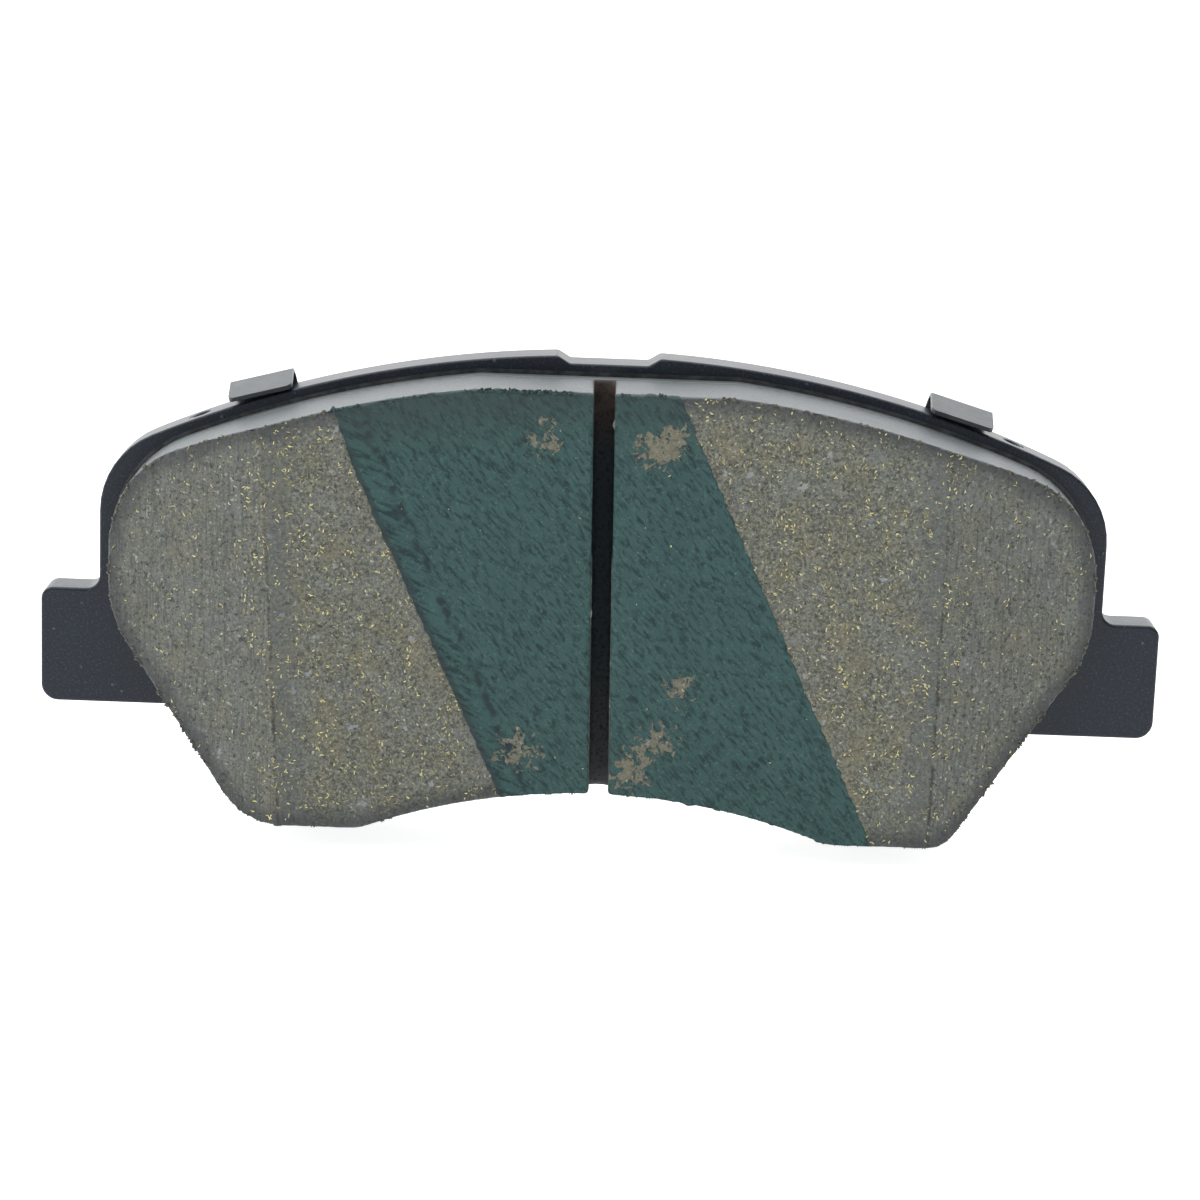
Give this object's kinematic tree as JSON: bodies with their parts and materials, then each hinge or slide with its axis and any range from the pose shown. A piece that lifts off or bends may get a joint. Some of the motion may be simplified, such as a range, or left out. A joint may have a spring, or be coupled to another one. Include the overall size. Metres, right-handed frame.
{
  "type": "disc brake pad",
  "caption": "Front disc brake pad: eared steel backing plate, chamfered and slotted friction lining with a bedding-in stripe, and a clipped-on anti-noise shim.",
  "frame": {"origin": "middle of the face that the piston presses, level with the middle of the ears", "axes": "+X along the pad, +Y out of the back towards the piston, +Z outwards from the wheel's axle"},
  "size_m": [0.1314, 0.0173, 0.0571],
  "materials": {
    "plate_paint": "satin powder coat over stamped steel",
    "adhesive": "cured phenolic film",
    "underlayer": "dense moulded base, overpainted at its edge",
    "friction": "ground moulded composite with brass fibres and pits",
    "bedding_coat": "thin dry dark teal coating, worn through in places",
    "brass_fibre": "short brass fibres cut flush with the ground face",
    "shim_steel": "satin coated spring steel sheet",
    "shim_rubber": "fine matt nitrile coating"
  },
  "bodies": {
    "root": {"backing_plate": "plate_paint", "adhesive_film": "adhesive", "underlayer": "underlayer", "friction_block": "friction", "bedding_stripe_left": "bedding_coat", "bedding_stripe_right": "bedding_coat", "shim_core": "shim_steel", "shim_inner_rubber": "shim_rubber", "shim_outer_rubber": "shim_rubber"}
  },
  "joints": []
}
